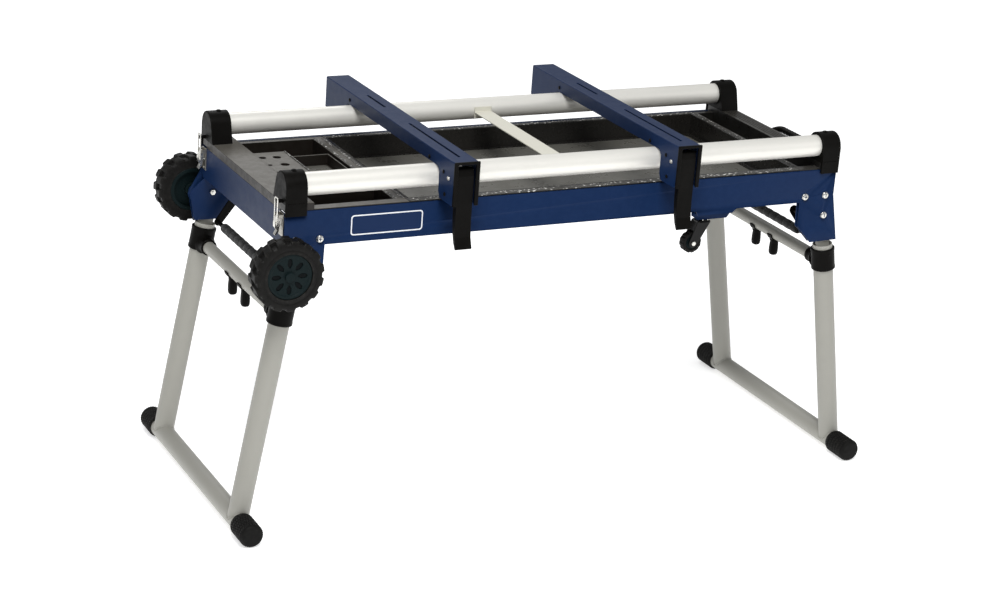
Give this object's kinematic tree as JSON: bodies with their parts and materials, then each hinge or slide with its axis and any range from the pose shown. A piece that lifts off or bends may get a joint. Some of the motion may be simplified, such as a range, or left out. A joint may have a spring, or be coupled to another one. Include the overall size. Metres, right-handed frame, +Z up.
{
  "type": "folding machine stand",
  "caption": "Folding wheeled machine stand: sheet frame with moulded tray, rail tubes carrying sliding clamp-on arms, splayed tube legs and casters.",
  "frame": {"origin": "centre of the bounding box's underside, on the floor", "axes": "+X along the stand toward the pull handle, -Y toward the operator's side with the clamp levers, +Z up"},
  "size_m": [1.594, 0.728, 0.8312],
  "materials": {
    "frame_blue": "satin powder coat",
    "tube_silver": "satin clear anodised",
    "deck_black": "moulded, slightly glossy floor",
    "leg_grey": "semi-gloss powder coat",
    "plastic_black": "fine moulded grain",
    "foot_rubber": "matte",
    "tyre_black": "matte lugged tread",
    "hub_dark": "satin",
    "fork_black": "semi-gloss stamped steel",
    "zinc": "bright zinc",
    "grip_foam": "foam"
  },
  "bodies": {
    "frame": {"rail_front": "frame_blue", "rail_rear": "frame_blue", "end_panel_left": "frame_blue", "end_panel_right": "frame_blue", "tray_main": "deck_black", "tray_left": "deck_black", "tray_right": "deck_black", "tube_front": "tube_silver", "tube_rear": "tube_silver", "cross_strap": "tube_silver", "pull_handle": "plastic_black", "pivot_plate_left_front": "frame_blue", "pivot_plate_right_front": "frame_blue", "cap_left_front": "plastic_black", "cap_right_front": "plastic_black", "latch_base_front": "zinc", "pivot_plate_left_rear": "frame_blue", "pivot_plate_right_rear": "frame_blue", "cap_left_rear": "plastic_black", "cap_right_rear": "plastic_black", "latch_base_rear": "zinc"},
    "legs_left": {"leg_frame_left": "leg_grey", "crossbar_left": "leg_grey", "leg_clamp_left_front": "plastic_black", "foot_cap_left_front": "foot_rubber", "peg_left_front": "plastic_black", "leg_clamp_left_rear": "plastic_black", "foot_cap_left_rear": "foot_rubber", "peg_left_rear": "plastic_black"},
    "legs_right": {"leg_frame_right": "leg_grey", "crossbar_right": "leg_grey", "leg_clamp_right_front": "plastic_black", "foot_cap_right_front": "foot_rubber", "peg_right_front": "plastic_black", "leg_clamp_right_rear": "plastic_black", "foot_cap_right_rear": "foot_rubber", "peg_right_rear": "plastic_black"},
    "release_left": {"release_bar_left": "plastic_black", "release_grip_left": "grip_foam"},
    "release_right": {"release_bar_right": "plastic_black", "release_grip_right": "grip_foam"},
    "wheel_front": {"tyre_front": "tyre_black", "hub_front": "hub_dark"},
    "caster_front": {"caster_fork_front": "fork_black"},
    "caster_roller_front": {"caster_wheel_front": "foot_rubber"},
    "wheel_rear": {"tyre_rear": "tyre_black", "hub_rear": "hub_dark"},
    "caster_rear": {"caster_fork_rear": "fork_black"},
    "caster_roller_rear": {"caster_wheel_rear": "foot_rubber"},
    "arm_left": {"arm_left": "frame_blue", "arm_bezel_left": "plastic_black"},
    "lever_left": {"clamp_lever_left": "plastic_black"},
    "arm_right": {"arm_right": "frame_blue", "arm_bezel_right": "plastic_black"},
    "lever_right": {"clamp_lever_right": "plastic_black"},
    "latch_front": {"latch_lever_front": "zinc"},
    "latch_loop_front": {"latch_wire_front": "zinc"},
    "latch_rear": {"latch_lever_rear": "zinc"},
    "latch_loop_rear": {"latch_wire_rear": "zinc"}
  },
  "joints": [
    {"name": "leg_fold_left", "type": "hinge", "parent": "frame", "child": "legs_left", "pos_m": [-0.668, -0.018, 0.61117], "axis": [0, -1, 0], "range_deg": [0, 100]},
    {"name": "leg_fold_right", "type": "hinge", "parent": "frame", "child": "legs_right", "pos_m": [0.668, -0.018, 0.61117], "axis": [0, 1, 0], "range_deg": [0, 100]},
    {"name": "release_left", "type": "hinge", "parent": "frame", "child": "release_left", "pos_m": [-0.612, -0.018, 0.61517], "axis": [0, -1, 0], "range_deg": [0, 15], "stiffness_Nm_per_rad": 2.5, "springref_deg": -14.32},
    {"name": "release_right", "type": "hinge", "parent": "frame", "child": "release_right", "pos_m": [0.612, -0.018, 0.61517], "axis": [0, 1, 0], "range_deg": [0, 15], "stiffness_Nm_per_rad": 2.5, "springref_deg": -14.32},
    {"name": "wheel_front_spin", "type": "hinge", "parent": "frame", "child": "wheel_front", "pos_m": [-0.703, -0.327, 0.60717], "axis": [0, 1, 0], "continuous": true},
    {"name": "caster_front_swivel", "type": "hinge", "parent": "frame", "child": "caster_front", "pos_m": [0.371, -0.221, 0.61617], "axis": [0, 0, 1], "continuous": true},
    {"name": "caster_front_roll", "type": "hinge", "parent": "caster_front", "child": "caster_roller_front", "pos_m": [0.343, -0.221, 0.55417], "axis": [0, 1, 0], "continuous": true},
    {"name": "wheel_rear_spin", "type": "hinge", "parent": "frame", "child": "wheel_rear", "pos_m": [-0.703, 0.291, 0.60717], "axis": [0, 1, 0], "continuous": true},
    {"name": "caster_rear_swivel", "type": "hinge", "parent": "frame", "child": "caster_rear", "pos_m": [0.371, 0.185, 0.61617], "axis": [0, 0, 1], "continuous": true},
    {"name": "caster_rear_roll", "type": "hinge", "parent": "caster_rear", "child": "caster_roller_rear", "pos_m": [0.343, 0.185, 0.55417], "axis": [0, 1, 0], "continuous": true},
    {"name": "arm_left_slide", "type": "slide", "parent": "frame", "child": "arm_left", "axis": [1, 0, 0], "range_m": [-0.288, 0.262]},
    {"name": "clamp_left", "type": "hinge", "parent": "arm_left", "child": "lever_left", "pos_m": [-0.312, -0.324, 0.78817], "axis": [-1, 0, 0], "range_deg": [0, 80]},
    {"name": "arm_right_slide", "type": "slide", "parent": "frame", "child": "arm_right", "axis": [1, 0, 0], "range_m": [-0.206, 0.364]},
    {"name": "clamp_right", "type": "hinge", "parent": "arm_right", "child": "lever_right", "pos_m": [0.236, -0.324, 0.78817], "axis": [-1, 0, 0], "range_deg": [0, 80]},
    {"name": "latch_front_lever", "type": "hinge", "parent": "frame", "child": "latch_front", "pos_m": [-0.699, -0.258, 0.71217], "axis": [0, 1, 0], "range_deg": [0, 110]},
    {"name": "latch_front_wire", "type": "hinge", "parent": "latch_front", "child": "latch_loop_front", "pos_m": [-0.704, -0.258, 0.69417], "axis": [0, 1, 0], "range_deg": [-115, 5]},
    {"name": "latch_rear_lever", "type": "hinge", "parent": "frame", "child": "latch_rear", "pos_m": [-0.699, 0.222, 0.71217], "axis": [0, 1, 0], "range_deg": [0, 110]},
    {"name": "latch_rear_wire", "type": "hinge", "parent": "latch_rear", "child": "latch_loop_rear", "pos_m": [-0.704, 0.222, 0.69417], "axis": [0, 1, 0], "range_deg": [-115, 5]}
  ],
  "couplings": [
    {"joint": "latch_front_wire", "follows": "latch_front_lever", "ratio": -1},
    {"joint": "latch_rear_wire", "follows": "latch_rear_lever", "ratio": -1}
  ]
}
